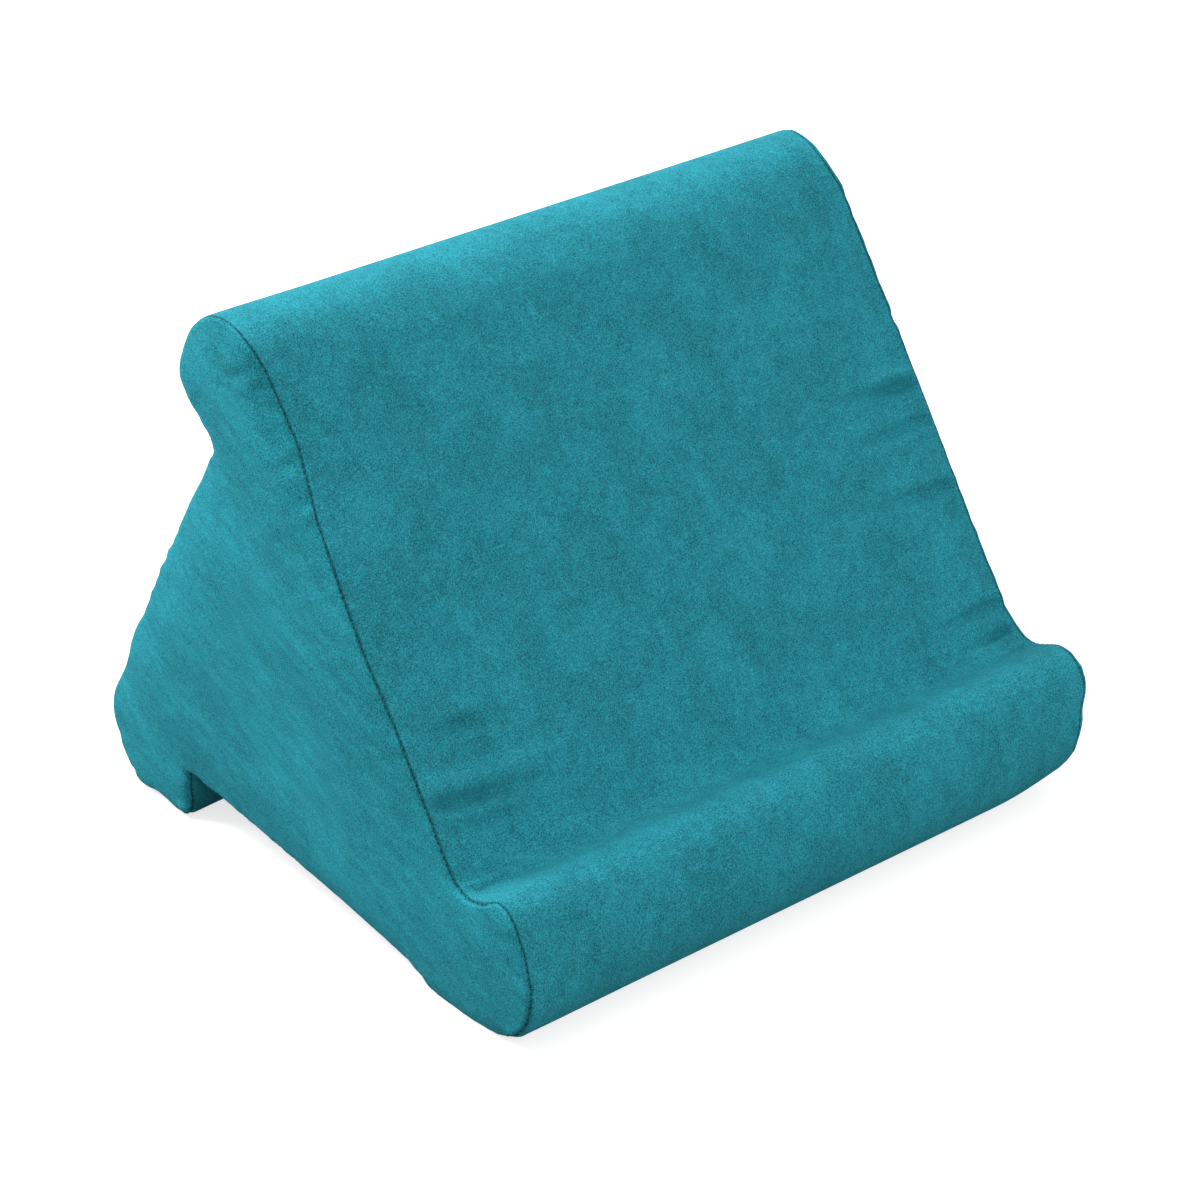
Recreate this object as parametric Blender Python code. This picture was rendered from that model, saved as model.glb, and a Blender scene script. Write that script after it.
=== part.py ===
"""Cushion stand for a tablet: a foam wedge with three sloping rests, in a sewn and zipped fabric cover.

The side outline is one closed run of round corners joined by straight tangents. Each of its three
faces ends in a lobe that makes the ledge for the face next to it: the lip at the front, the head at
the top and the foot at the back. X runs along the stand, Y to the back and Z up. The origin is
under the middle of the stand, on the surface that it stands on.
"""

import math
from typing import NamedTuple

import bmesh
import bpy
from mathutils import Vector

MM = 0.001

# Height and depth over all, length between the two end seams, and the domes beyond these
HEIGHT = 214 * MM
DEPTH = 248 * MM
SEAM_TO_SEAM = 266 * MM
END_CROWN = 4 * MM
END_ROUNDING = 13 * MM

# Cover: thickness with its lining, groove along each seam, and the clearance between pieces, which
# is larger between the foam and the domed ends
COVER = 2.4 * MM
SEAM_DIP = 1.0 * MM
SEAM_ROUNDING = 6 * MM
GAP = 0.3 * MM
DOME_GAP = 0.6 * MM

# Round corners of the side outline. Each centre is given from the front of the toe or from the back
# of the foot, and by its height above the ground or its drop below the top of the head. A corner
# that rests on the ground has its centre one radius up.

# Front lip, the channel behind it, and the front edge of the underside
TOE_RADIUS = 20.5 * MM
LIP_FROM_FRONT = 19.7 * MM
LIP_HEIGHT = 41.3 * MM
LIP_RADIUS = 11 * MM
CHANNEL_FROM_FRONT = 35.5 * MM
CHANNEL_HEIGHT = 56.3 * MM
CHANNEL_RADIUS = 9 * MM
BASE_EDGE_FROM_FRONT = 48.7 * MM
BASE_EDGE_RADIUS = 29.5 * MM

# Head at the top, and the notch below its overhang
HEAD_FRONT_FROM_BACK = 83.1 * MM
HEAD_FRONT_RADIUS = 22.6 * MM
HEAD_BACK_FROM_BACK = 69.3 * MM
HEAD_BACK_DROP = 29 * MM
HEAD_BACK_RADIUS = 12 * MM
BACK_NOTCH_FROM_BACK = 70.8 * MM
BACK_NOTCH_DROP = 49 * MM
BACK_NOTCH_RADIUS = 4.5 * MM

# Foot at the back, and the notch in front of it
FOOT_TOP_HEIGHT = 29 * MM
FOOT_TOP_RADIUS = 21 * MM
FOOT_LOW_FROM_BACK = 17.3 * MM
FOOT_LOW_RADIUS = 10 * MM
FOOT_INNER_FROM_BACK = 42.3 * MM
FOOT_INNER_RADIUS = 4.6 * MM
UNDER_NOTCH_FROM_BACK = 51.5 * MM
UNDER_NOTCH_HEIGHT = 19.8 * MM
UNDER_NOTCH_RADIUS = 2.8 * MM

# Fineness: turn of one arc step, spacing of points on the straights, and stations along X
ARC_STEP = math.radians(12)
FRONT_FACE_STEP = 4 * MM
OTHER_FACE_STEP = 16 * MM
LEAST_STEP = 0.2 * MM
DOME_STEPS = 4
FIRST_STATION = 5 * MM
STATION_GROWTH = 1.5

# Closing zip in the underside: tapes, moulded teeth, and the slot that shows them
ZIP_SETBACK = 25 * MM
ZIP_END_MARGIN = 43 * MM
TAPE_OVERHANG = 18 * MM
TAPE_WIDTH = 13 * MM
TAPE_THICKNESS = 0.6 * MM
BEAD_WIDTH = 1.3 * MM
BEAD_THICKNESS = 2 * MM
TOOTH_PITCH = 3 * MM
TOOTH_SPACE = 0.35 * MM
TOOTH_REACH = 0.8 * MM
TOOTH_THICKNESS = 1.6 * MM
SLOT_WIDTH = 10 * MM
SLOT_OVERHANG = 14 * MM

# Zip slider with its bridge, the stops at the ends of the teeth, and the pull
SLIDER_LENGTH = 10 * MM
SLIDER_PLATE = 1.2 * MM
SLIDER_RAIL = 1.1 * MM
SLIDER_TAPER = 0.8 * MM
SLIDER_PLAY = 0.5 * MM
POST_LENGTH = 3 * MM
STOP_LENGTH = 2.5 * MM
STOP_WALL = 0.5 * MM
BRIDGE_WIDTH = 2.6 * MM
BRIDGE_LENGTH = 6 * MM
BRIDGE_WALL = 0.9 * MM
PULL_LENGTH = 14 * MM
PULL_THICKNESS = 1.2 * MM
PULL_ARM = 1.2 * MM
PULL_PLAY = 0.4 * MM
EMBEDDED = 0.3 * MM


class Corner(NamedTuple):
    """Round corner of the side outline; a hollow one curves into the foam."""

    y: float
    z: float
    radius: float
    hollow: bool = False


class OutlinePoint(NamedTuple):
    """Point of the outline, its outward direction, and how far it may move inward."""

    place: Vector
    outward: Vector
    room: float


class Fold(NamedTuple):
    """Crease of the front face that starts at an end seam: -1 is the left end, 1 the right."""

    end: int
    height: float
    depth: float
    half_width: float
    length: float


# Creases by their height above the channel; one with a minus depth is raised
FRONT_FOLDS = (
    Fold(-1, 21 * MM, 1.5 * MM, 4 * MM, 72 * MM),
    Fold(-1, 28 * MM, -0.8 * MM, 5 * MM, 82 * MM),
    Fold(-1, 46 * MM, 0.8 * MM, 5 * MM, 58 * MM),
    Fold(-1, -6 * MM, 0.9 * MM, 5 * MM, 58 * MM),
    Fold(1, 2 * MM, 1.5 * MM, 4 * MM, 36 * MM),
    Fold(1, 12 * MM, 1.0 * MM, 5 * MM, 44 * MM),
    Fold(1, 59 * MM, 1.1 * MM, 6 * MM, 62 * MM),
    Fold(1, 85 * MM, 1.0 * MM, 5 * MM, 42 * MM),
    Fold(1, 100 * MM, 1.2 * MM, 6 * MM, 66 * MM),
)
FOLD_START = 5 * MM


def clear_scene():
    for existing in list(bpy.data.objects):
        bpy.data.objects.remove(existing, do_unlink=True)


def material(name, colour, roughness, metallic=0.0):
    made = bpy.data.materials.new(name)
    made.use_nodes = True
    made.diffuse_color = (*colour, 1.0)
    shader = made.node_tree.nodes["Principled BSDF"]
    shader.inputs["Base Color"].default_value = (*colour, 1.0)
    shader.inputs["Roughness"].default_value = roughness
    shader.inputs["Metallic"].default_value = metallic
    return made


# Side outline

def outline_corners():
    """Corners counter-clockwise with Y to the right, shifted so that the depth is centred."""
    front = -DEPTH / 2
    back = DEPTH / 2

    def rounded(y, z, radius):
        return Corner(y, z, radius)

    def hollow(y, z, radius):
        return Corner(y, z, radius, hollow=True)

    def on_ground(y, radius):
        return Corner(y, radius, radius)

    corners = {
        "base_edge": on_ground(front + BASE_EDGE_FROM_FRONT, BASE_EDGE_RADIUS),
        "under_notch": hollow(back - UNDER_NOTCH_FROM_BACK, UNDER_NOTCH_HEIGHT, UNDER_NOTCH_RADIUS),
        "foot_inner": on_ground(back - FOOT_INNER_FROM_BACK, FOOT_INNER_RADIUS),
        "foot_low": on_ground(back - FOOT_LOW_FROM_BACK, FOOT_LOW_RADIUS),
        "foot_top": rounded(back - FOOT_TOP_RADIUS, FOOT_TOP_HEIGHT, FOOT_TOP_RADIUS),
        "back_notch": hollow(back - BACK_NOTCH_FROM_BACK, HEIGHT - BACK_NOTCH_DROP, BACK_NOTCH_RADIUS),
        "head_back": rounded(back - HEAD_BACK_FROM_BACK, HEIGHT - HEAD_BACK_DROP, HEAD_BACK_RADIUS),
        "head_front": rounded(back - HEAD_FRONT_FROM_BACK, HEIGHT - HEAD_FRONT_RADIUS, HEAD_FRONT_RADIUS),
        "channel": hollow(front + CHANNEL_FROM_FRONT, CHANNEL_HEIGHT, CHANNEL_RADIUS),
        "lip": rounded(front + LIP_FROM_FRONT, LIP_HEIGHT, LIP_RADIUS),
        "toe": on_ground(front + TOE_RADIUS, TOE_RADIUS),
    }
    limit_radii(corners)
    convex = [corner for corner in corners.values() if not corner.hollow]
    foremost = min(corner.y - corner.radius for corner in convex)
    rearmost = max(corner.y + corner.radius for corner in convex)
    middle = (foremost + rearmost) / 2
    return {name: corner._replace(y=corner.y - middle) for name, corner in corners.items()}


def limit_radii(corners):
    """Cut radii back to the room that their neighbours leave, so that the tangents exist."""
    slack = 0.95
    names = list(corners)
    for index, name in enumerate(names):
        for other_name in (names[index - 1], names[(index + 1) % len(names)]):
            corner = corners[name]
            other = corners[other_name]
            room = slack * math.hypot(other.y - corner.y, other.z - corner.z)
            if corner.hollow:
                corners[name] = corner._replace(radius=min(corner.radius, room - other.radius))
            elif not other.hollow:
                corners[name] = corner._replace(radius=min(corner.radius, other.radius + room))


def signed_radius(corner):
    return -corner.radius if corner.hollow else corner.radius


def tangent_direction(start, end):
    """Outward direction of the straight that leaves one corner and joins the next."""
    across = Vector((end.y - start.y, end.z - start.z))
    ahead = across.normalized()
    lean = (signed_radius(start) - signed_radius(end)) / across.length
    return ahead * lean + Vector((ahead.y, -ahead.x)) * math.sqrt(1.0 - lean * lean)


def corner_point(corner, outward):
    """Point of a round corner at which the outline faces the given way."""
    return Vector((corner.y, corner.z)) + outward * signed_radius(corner)


def side_outline(corners):
    """Points once round the outline: every arc in equal turns, every straight in equal steps."""
    names = list(corners)
    places = []
    for index, name in enumerate(names):
        corner = corners[name]
        following = corners[names[(index + 1) % len(names)]]
        arriving = tangent_direction(corners[names[index - 1]], corner)
        leaving = tangent_direction(corner, following)
        turn = math.atan2(arriving.cross(leaving), arriving.dot(leaving))
        heading = math.atan2(arriving.y, arriving.x)
        steps = max(2, math.ceil(abs(turn) / ARC_STEP))
        own_room = math.inf if corner.hollow else corner.radius
        for step in range(steps + 1):
            angle = heading + turn * step / steps
            outward = Vector((math.cos(angle), math.sin(angle)))
            places.append((corner_point(corner, outward), outward, own_room))
        start = corner_point(corner, leaving)
        end = corner_point(following, leaving)
        spacing = FRONT_FACE_STEP if name == "head_front" else OTHER_FACE_STEP
        parts = math.ceil((end - start).length / spacing)
        for part in range(1, parts):
            places.append((start.lerp(end, part / parts), leaving, math.inf))
    previous = places[-1:] + places[:-1]
    places = [here for here, before in zip(places, previous)
              if (here[0] - before[0]).length > LEAST_STEP]
    return [OutlinePoint(place, outward, eased_room(place, outward, places))
            for place, outward, own_room in places]


def eased_room(place, outward, places):
    """Room to move inward: little at a tight corner, and more with distance from it."""
    share_of_radius = 0.9
    easing = 0.35
    return min(
        share_of_radius * radius + easing * (place - other).length
        for other, other_outward, radius in places
        if radius < math.inf and other_outward.dot(outward) > 0.0
    )


# Solids made by lofting

def add_object(name, mesh, finish=None, parent=None, place=(0.0, 0.0, 0.0)):
    made = bpy.data.objects.new(name, mesh)
    bpy.context.scene.collection.objects.link(made)
    made.location = place
    made.parent = parent
    if finish is not None:
        mesh.materials.append(finish)
    return made


def loft(name, loops, finish=None, ring=False, parent=None, place=(0.0, 0.0, 0.0)):
    """Closed solid through loops of equal count; a ring joins its last loop to its first."""
    shape = bmesh.new()
    rows = [[shape.verts.new(corner) for corner in loop] for loop in loops]
    following_rows = rows[1:] + rows[:1] if ring else rows[1:]
    for row, following in zip(rows, following_rows):
        for index, corner in enumerate(row):
            after = (index + 1) % len(row)
            shape.faces.new((corner, row[after], following[after], following[index]))
    if not ring:
        shape.faces.new(rows[0])
        shape.faces.new(rows[-1])
    bmesh.ops.recalc_face_normals(shape, faces=shape.faces)
    mesh = bpy.data.meshes.new(name)
    shape.to_mesh(mesh)
    shape.free()
    mesh.shade_smooth()
    mesh.set_sharp_from_angle(angle=math.radians(40))
    return add_object(name, mesh, finish, parent, place)


def prism(name, corners, low, high, along="X", **placing):
    """Polygon extruded along an axis; its corners are (y, z), (x, z) or (x, y)."""
    in_space = {
        "X": lambda first, second, reach: Vector((reach, first, second)),
        "Y": lambda first, second, reach: Vector((first, reach, second)),
        "Z": lambda first, second, reach: Vector((first, second, reach)),
    }[along]
    loops = [[in_space(first, second, reach) for first, second in corners] for reach in (low, high)]
    return loft(name, loops, **placing)


def rectangle(low, high):
    return [(low[0], low[1]), (high[0], low[1]), (high[0], high[1]), (low[0], high[1])]


def mirrored(corners):
    return [(first, -second) for first, second in corners]


def combine(target, operand, operation):
    """Cut away, join or intersect another solid, which itself is only a hidden guide."""
    operand.hide_render = True
    operand.display_type = "WIRE"
    modifier = target.modifiers.new(operand.name, "BOOLEAN")
    modifier.operation = operation
    modifier.solver = "EXACT"
    modifier.object = operand


# Foam and cover

def outline_loop(outline, x, inward):
    """The outline at one station along X, moved inward by what a function gives for each point."""
    loop = []
    for point in outline:
        place = point.place - point.outward * inward(point)
        loop.append(Vector((x, place.x, place.y)))
    return loop


def seam_dip(from_seam):
    """How far the cover is drawn in, at a distance from its end seam."""
    share = max(0.0, 1.0 - from_seam / SEAM_ROUNDING)
    return SEAM_DIP * (1.0 - math.sqrt(1.0 - share * share))


class FrontFace:
    """The straight of the front face, on which the creases lie."""

    def __init__(self, corners):
        self.outward = tangent_direction(corners["head_front"], corners["channel"])
        self.upward = Vector((self.outward.y, -self.outward.x))
        self.foot = corner_point(corners["channel"], self.outward)

    def crease(self, point, x):
        """How far the creases draw in a point of the outline at a station along X."""
        height = (point.place - self.foot).dot(self.upward)
        facing = max(0.0, point.outward.dot(self.outward))
        drawn = 0.0
        for fold in FRONT_FOLDS:
            from_seam = SEAM_TO_SEAM / 2 - fold.end * x
            reach = max(0.0, 1.0 - from_seam / fold.length)
            start = min(1.0, from_seam / FOLD_START)
            across = math.exp(-((height - fold.height) / fold.half_width) ** 2)
            drawn += fold.depth * across * reach * reach * start
        return drawn * facing * facing


def cover_stations():
    """Stations along X: close together at the seams, and wider apart towards the middle."""
    from_seam = [GAP / 2, 0.1 * SEAM_ROUNDING, 0.35 * SEAM_ROUNDING, 0.65 * SEAM_ROUNDING, SEAM_ROUNDING]
    step = FIRST_STATION
    while from_seam[-1] + step < SEAM_TO_SEAM / 2:
        from_seam.append(from_seam[-1] + step)
        step *= STATION_GROWTH
    left = [distance - SEAM_TO_SEAM / 2 for distance in from_seam]
    return left + [-x for x in reversed(left)]


def make_cover_wrap(outline, corners, fabric):
    """Fabric that goes once round the foam, from seam to seam."""
    face = FrontFace(corners)
    loops = []
    for x in cover_stations():
        dip = seam_dip(SEAM_TO_SEAM / 2 - abs(x))
        loops.append(outline_loop(outline, x, lambda point: dip + face.crease(point, x)))
    end = SEAM_TO_SEAM / 2 - GAP / 2
    loops.append(outline_loop(outline, end, lambda point: COVER))
    loops.append(outline_loop(outline, -end, lambda point: COVER))
    return loft("cover_wrap", loops, fabric, ring=True)


def dome_loops(outline, side, inset, crown):
    """Loops of one domed end, from its rim in the seam's plane to its flat middle."""
    deepest = COVER + SEAM_DIP + DOME_GAP
    rim = SEAM_TO_SEAM / 2 + GAP / 2
    least_rounding = 0.5 * MM
    loops = []
    for step in range(DOME_STEPS + 1):
        angle = math.pi / 2 * step / DOME_STEPS
        x = side * (rim + crown * math.sin(angle))

        def inward(point):
            rounding = max(least_rounding, min(END_ROUNDING, point.room - deepest))
            return inset + rounding * (1.0 - math.cos(angle))

        loops.append(outline_loop(outline, x, inward))
    return loops


def make_cover_end(name, outline, side, fabric):
    """End panel: a domed fabric shell sewn to the wrap along the seam."""
    inner = dome_loops(outline, side, COVER + SEAM_DIP, END_CROWN - COVER)
    outer = dome_loops(outline, side, SEAM_DIP, END_CROWN)
    return loft(name, list(reversed(inner)) + outer, fabric)


def make_foam_core(outline, foam):
    """Foam wedge that fills the cover, with domed ends."""
    inset = COVER + SEAM_DIP + DOME_GAP
    crown = END_CROWN - COVER - DOME_GAP
    shoulder = SEAM_TO_SEAM / 2 - SEAM_ROUNDING
    left = list(reversed(dome_loops(outline, -1, inset, crown)))
    right = dome_loops(outline, 1, inset, crown)
    middle = [outline_loop(outline, x, lambda point: COVER + GAP) for x in (-shoulder, shoulder)]
    return loft("foam_core", left + middle + right, foam)


# Zip: in its own frame X runs along the teeth, Y to the front and Z out of the underside

TEETH = int((SEAM_TO_SEAM - 2 * ZIP_END_MARGIN) / TOOTH_PITCH)
CHAIN_LENGTH = TEETH * TOOTH_PITCH
TAPE_DEPTH = COVER + GAP + BEAD_THICKNESS / 2
BEAD_INNER = TOOTH_REACH + GAP
BEAD_OUTER = BEAD_INNER + BEAD_WIDTH
CHAIN_END = CHAIN_LENGTH / 2
SLOT_END = CHAIN_END + SLOT_OVERHANG
PLATE_INNER = BEAD_THICKNESS / 2 + GAP
PLATE_OUTER = PLATE_INNER + SLIDER_PLATE
RAIL_INNER = BEAD_OUTER + SLIDER_PLAY
RAIL_OUTER = RAIL_INNER + SLIDER_RAIL
PULL_AXIS = PLATE_OUTER + PULL_PLAY + PULL_THICKNESS / 2
SLIDER_X = CHAIN_END + GAP - SLIDER_LENGTH / 2 + POST_LENGTH


def make_zip_frame(corners):
    """Empty on the underside, in front of its notch, with Z out of the fabric."""
    outward = tangent_direction(corners["base_edge"], corners["under_notch"])
    rearward = Vector((-outward.y, outward.x))
    place = corner_point(corners["under_notch"], outward) - rearward * ZIP_SETBACK
    frame = add_object("zip_frame", None, place=(0.0, place.x, place.y))
    frame.rotation_euler.x = math.atan2(-outward.x, outward.y)
    return frame


def cut_zip_slot(cover_wrap, foam_core, zip_frame):
    """Slot in the fabric, and the pocket in the foam that the tapes and the slider lie in."""
    slot = prism(
        "zip_slot_cutter",
        rectangle((-SLOT_WIDTH / 2, -2 * COVER), (SLOT_WIDTH / 2, COVER)),
        -SLOT_END, SLOT_END, parent=zip_frame,
    )
    combine(cover_wrap, slot, "DIFFERENCE")
    tape_end = CHAIN_END + TAPE_OVERHANG + GAP
    tape_side = BEAD_INNER + TAPE_WIDTH + GAP
    tape_floor = -TAPE_DEPTH - TAPE_THICKNESS / 2 - GAP
    tapes = prism(
        "tape_pocket_cutter",
        rectangle((-tape_side, tape_floor), (tape_side, COVER)),
        -tape_end, tape_end, parent=zip_frame,
    )
    combine(foam_core, tapes, "DIFFERENCE")
    groove_side = RAIL_OUTER + SLIDER_PLAY
    groove_floor = -TAPE_DEPTH - PLATE_OUTER - GAP
    groove = prism(
        "slider_groove_cutter",
        rectangle((-groove_side, groove_floor), (groove_side, COVER)),
        -tape_end, tape_end, parent=zip_frame,
    )
    combine(foam_core, groove, "DIFFERENCE")


def make_zip_half(name, side, zip_frame, tape_finish):
    """Tape with a beaded edge and its row of moulded teeth; the rows are half a pitch apart."""
    half_bead = BEAD_THICKNESS / 2
    half_tape = TAPE_THICKNESS / 2
    tape_edge = BEAD_INNER + TAPE_WIDTH
    section = [
        (BEAD_INNER, -half_bead), (BEAD_OUTER, -half_bead), (BEAD_OUTER, -half_tape),
        (tape_edge, -half_tape), (tape_edge, half_tape), (BEAD_OUTER, half_tape),
        (BEAD_OUTER, half_bead), (BEAD_INNER, half_bead),
    ]
    end = CHAIN_END + TAPE_OVERHANG
    half = prism(
        name, [(side * y, z) for y, z in section], -end, end,
        finish=tape_finish, parent=zip_frame, place=(0.0, 0.0, -TAPE_DEPTH),
    )
    tooth = TOOTH_PITCH / 2 - TOOTH_SPACE
    spine_near = side * (BEAD_INNER + EMBEDDED)
    spine_far = side * (BEAD_OUTER - EMBEDDED)
    tip = -side * TOOTH_REACH
    offset = 0.0 if side > 0 else TOOTH_PITCH / 2
    comb = []
    for number in range(TEETH):
        start = -CHAIN_END + offset + number * TOOTH_PITCH
        comb += [(start, spine_near), (start, tip), (start + tooth, tip), (start + tooth, spine_near)]
    comb += [(comb[-1][0], spine_far), (comb[0][0], spine_far)]
    teeth = prism(
        name + "_teeth", comb, -TOOTH_THICKNESS / 2, TOOTH_THICKNESS / 2, along="Z",
        parent=zip_frame, place=(0.0, 0.0, -TAPE_DEPTH),
    )
    combine(half, teeth, "UNION")
    return half


def make_zip_slider(zip_frame, metal):
    """Slider: two railed plates on a wedge post, and the bridge that holds the pull."""
    end = SLIDER_LENGTH / 2
    placing = {"parent": zip_frame, "place": (SLIDER_X, 0.0, -TAPE_DEPTH)}
    rail_edge = TAPE_THICKNESS / 2 + GAP
    plate = [
        (-RAIL_OUTER, rail_edge), (-RAIL_INNER, rail_edge), (-RAIL_INNER, PLATE_INNER),
        (RAIL_INNER, PLATE_INNER), (RAIL_INNER, rail_edge), (RAIL_OUTER, rail_edge),
        (RAIL_OUTER, PLATE_OUTER), (-RAIL_OUTER, PLATE_OUTER),
    ]
    slider = prism("zip_slider", plate, -end, end, finish=metal, **placing)
    inner_plate = prism("slider_inner_plate", mirrored(plate), -end, end, **placing)
    half_post = BEAD_INNER - GAP
    post = prism(
        "slider_post",
        rectangle((-half_post, -PLATE_INNER - EMBEDDED), (half_post, PLATE_INNER + EMBEDDED)),
        end - POST_LENGTH, end, **placing,
    )
    rear_width = RAIL_OUTER - SLIDER_TAPER
    nose_width = BEAD_OUTER
    wide = RAIL_OUTER + GAP
    shield = prism(
        "slider_shield",
        [(-end - GAP, -rear_width), (0.0, -wide), (end - 2 * SLIDER_TAPER, -wide), (end, -nose_width),
         (end, nose_width), (end - 2 * SLIDER_TAPER, wide), (0.0, wide), (-end - GAP, rear_width)],
        -2 * PLATE_OUTER, 2 * PLATE_OUTER, along="Z", **placing,
    )
    half_bridge = BRIDGE_LENGTH / 2
    window = half_bridge - BRIDGE_WALL
    window_top = PULL_AXIS + PULL_THICKNESS / 2 + PULL_PLAY
    bridge_top = window_top + BRIDGE_WALL
    foot = PLATE_OUTER - EMBEDDED
    bridge = prism(
        "slider_bridge",
        [(-half_bridge, foot), (-half_bridge, window_top), (-window, bridge_top), (window, bridge_top),
         (half_bridge, window_top), (half_bridge, foot), (window, foot), (window, window_top),
         (-window, window_top), (-window, foot)],
        -BRIDGE_WIDTH / 2, BRIDGE_WIDTH / 2, along="Y", **placing,
    )
    combine(slider, inner_plate, "UNION")
    combine(slider, post, "UNION")
    combine(slider, shield, "INTERSECT")
    combine(slider, bridge, "UNION")
    return slider


def make_zip_pull(zip_frame, metal):
    """Pull that hangs from the slider's bridge by the bar across its eye."""
    bar = PULL_THICKNESS / 2
    eye_side = BRIDGE_WIDTH / 2 + PULL_PLAY
    eye_end = math.hypot(BRIDGE_LENGTH / 2, PULL_AXIS - PLATE_OUTER) + PULL_PLAY
    broad = eye_side + PULL_ARM
    waist = broad - PULL_ARM / 2
    placing = {"parent": zip_frame, "place": (SLIDER_X, 0.0, PULL_AXIS - TAPE_DEPTH)}
    pull = prism(
        "zip_pull",
        [(-broad, -bar), (broad, -bar), (broad, eye_end), (waist, eye_end + 2 * PULL_ARM),
         (broad, PULL_LENGTH - 2 * PULL_ARM), (waist, PULL_LENGTH), (-waist, PULL_LENGTH),
         (-broad, PULL_LENGTH - 2 * PULL_ARM), (-waist, eye_end + 2 * PULL_ARM), (-broad, eye_end)],
        -PULL_THICKNESS / 2, PULL_THICKNESS / 2, finish=metal, **placing,
    )
    eye = prism(
        "pull_eye", rectangle((-eye_side, bar), (eye_side, eye_end)),
        -PULL_THICKNESS, PULL_THICKNESS, **placing,
    )
    combine(pull, eye, "DIFFERENCE")
    return pull


def make_zip_stops(zip_frame, metal):
    """Clip on each bead past the slider, and one staple over both beads at the far end."""
    flange_inner = PLATE_INNER
    flange_outer = PLATE_INNER + STOP_WALL
    web = BEAD_INNER - GAP
    reach = BEAD_OUTER + GAP
    clip_start = SLIDER_X + SLIDER_LENGTH / 2 + GAP
    for name, side in (("zip_top_stop_front", 1), ("zip_top_stop_rear", -1)):
        clip = [
            (web - STOP_WALL, -flange_outer), (reach, -flange_outer), (reach, -flange_inner),
            (web, -flange_inner), (web, flange_inner), (reach, flange_inner),
            (reach, flange_outer), (web - STOP_WALL, flange_outer),
        ]
        prism(
            name, [(side * y, z) for y, z in clip], clip_start, clip_start + STOP_LENGTH,
            finish=metal, parent=zip_frame, place=(0.0, 0.0, -TAPE_DEPTH),
        )
    half_staple = [
        (reach, flange_outer), (-reach, flange_outer), (-reach, flange_inner), (-web, flange_inner),
        (-web, -flange_inner), (-reach, -flange_inner),
    ]
    staple = half_staple + [(-y, -z) for y, z in half_staple]
    staple_end = -CHAIN_END - GAP
    prism(
        "zip_bottom_stop", staple, staple_end - STOP_LENGTH, staple_end,
        finish=metal, parent=zip_frame, place=(0.0, 0.0, -TAPE_DEPTH),
    )


def main():
    clear_scene()
    fabric = material("cover_fabric", (0.025, 0.28, 0.35), 0.9)
    foam = material("foam", (0.62, 0.60, 0.50), 0.95)
    tape_finish = material("zip_tape", (0.012, 0.13, 0.17), 0.8)
    metal = material("zip_metal", (0.016, 0.15, 0.19), 0.4, metallic=0.3)
    corners = outline_corners()
    outline = side_outline(corners)
    cover_wrap = make_cover_wrap(outline, corners, fabric)
    make_cover_end("cover_end_left", outline, -1, fabric)
    make_cover_end("cover_end_right", outline, 1, fabric)
    foam_core = make_foam_core(outline, foam)
    zip_frame = make_zip_frame(corners)
    cut_zip_slot(cover_wrap, foam_core, zip_frame)
    make_zip_half("zip_half_front", 1, zip_frame, tape_finish)
    make_zip_half("zip_half_rear", -1, zip_frame, tape_finish)
    make_zip_slider(zip_frame, metal)
    make_zip_pull(zip_frame, metal)
    make_zip_stops(zip_frame, metal)


main()
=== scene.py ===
"""Looks of the tablet cushion stand: its soft cover with seams and creases, nap, floor, light and camera."""

import math
from typing import NamedTuple

import bmesh
import bpy
import numpy as np
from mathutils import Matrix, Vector
from mathutils.geometry import delaunay_2d_cdt
from mathutils.kdtree import KDTree


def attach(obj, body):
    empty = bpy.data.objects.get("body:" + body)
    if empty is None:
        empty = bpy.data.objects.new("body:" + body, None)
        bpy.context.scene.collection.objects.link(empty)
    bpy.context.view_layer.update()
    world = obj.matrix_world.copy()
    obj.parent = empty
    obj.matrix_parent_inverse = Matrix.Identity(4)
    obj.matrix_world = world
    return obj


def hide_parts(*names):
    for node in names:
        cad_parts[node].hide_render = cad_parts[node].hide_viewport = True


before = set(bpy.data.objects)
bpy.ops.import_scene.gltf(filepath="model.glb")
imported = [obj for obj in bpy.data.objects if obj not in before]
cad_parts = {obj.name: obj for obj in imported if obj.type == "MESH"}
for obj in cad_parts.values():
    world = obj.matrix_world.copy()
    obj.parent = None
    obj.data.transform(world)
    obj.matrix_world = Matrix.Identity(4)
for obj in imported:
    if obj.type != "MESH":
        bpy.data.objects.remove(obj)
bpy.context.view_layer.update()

MM = 0.001


class Corner(NamedTuple):
    """Round corner of the side outline in the YZ plane, in millimetres."""

    y: float
    z: float
    radius: float
    hollow: bool = False


# Side outline of the cushion, counter-clockwise with Y to the right, as the solids have it
CORNERS = {
    "base_edge": Corner(-75.3, 29.5, 29.5),
    "under_notch": Corner(72.5, 19.8, 2.8, hollow=True),
    "foot_inner": Corner(81.7, 4.6, 4.6),
    "foot_low": Corner(106.7, 10.0, 10.0),
    "foot_top": Corner(103.0, 29.0, 21.0),
    "back_notch": Corner(53.2, 165.0, 4.5, hollow=True),
    "head_back": Corner(54.7, 185.0, 12.0),
    "head_front": Corner(40.9, 191.4, 22.6),
    "channel": Corner(-88.5, 56.3, 9.0, hollow=True),
    "lip": Corner(-104.3, 41.3, 11.0),
    "toe": Corner(-103.5, 20.5, 20.5),
}
SEAM_X = 133 * MM
END_CROWN = 4 * MM
END_ROUNDING = 9 * MM
END_BULGE = 1.0 * MM

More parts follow.
